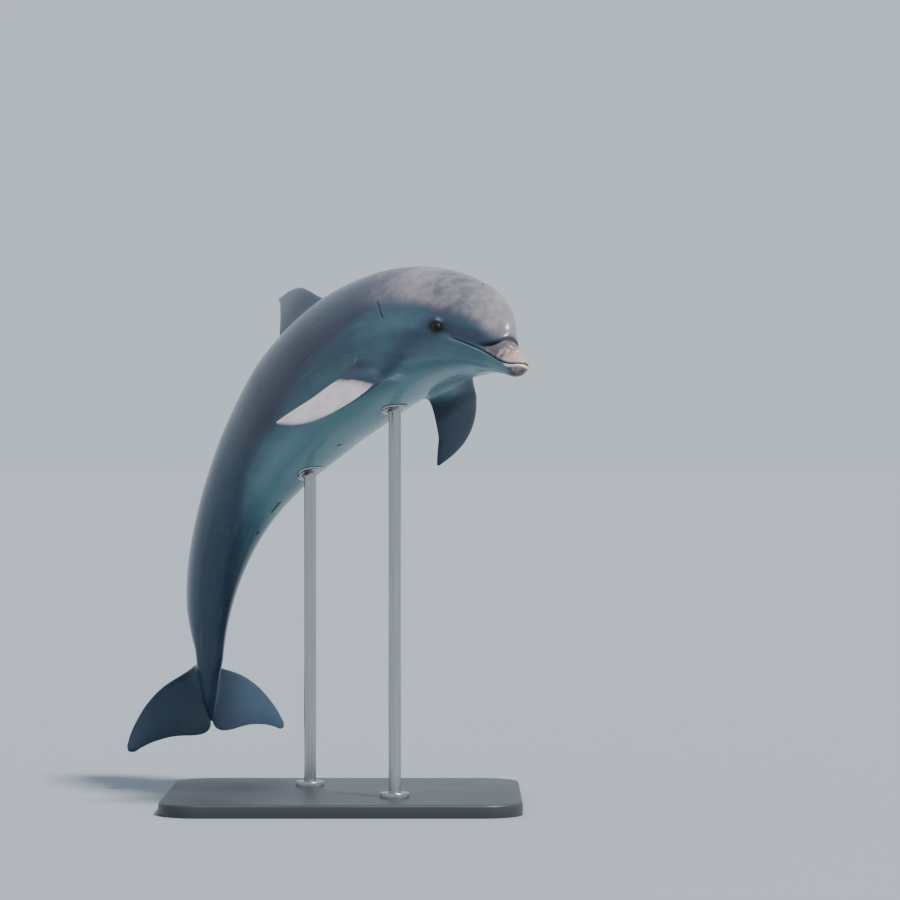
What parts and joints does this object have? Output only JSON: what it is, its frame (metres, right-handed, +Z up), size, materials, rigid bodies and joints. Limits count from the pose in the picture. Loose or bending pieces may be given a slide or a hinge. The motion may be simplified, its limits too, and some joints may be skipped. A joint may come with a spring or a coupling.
{
  "type": "bottlenose dolphin model",
  "caption": "Life-size still model of a leaping bottlenose dolphin, arched with its flippers out, held above a flat base by upright rods.",
  "frame": {"origin": "middle of the underside of the stand's base, on the floor", "axes": "+Z up; the base's long side runs along X; the dolphin's beak points towards +X and -Y, and its tail hangs towards -X and +Y"},
  "size_m": [1.2634, 1.6319, 1.6556],
  "materials": {
    "skin": "wet, smooth slate-grey skin",
    "fins": "wet, smooth dark grey skin",
    "beak": "worn pinkish-grey skin",
    "throat": "wet pale grey skin",
    "eye": "polished, nearly black",
    "stand_base": "satin charcoal paint",
    "stand_rods": "brushed"
  },
  "bodies": {
    "root": {"head": "skin", "beak_upper": "beak", "jaw_lower": "throat", "eye_left": "eye", "eye_right": "eye", "neck": "skin", "chest": "skin", "trunk": "skin", "tail_base": "skin", "tail_stock": "skin", "dorsal_fin": "fins", "flipper_left": "fins", "flipper_right": "fins", "fluke_left": "fins", "fluke_right": "fins", "stand_base": "stand_base", "stand_rod_front": "stand_rods", "stand_rod_rear": "stand_rods", "stand_collar_front": "stand_rods", "stand_collar_rear": "stand_rods"}
  },
  "joints": []
}
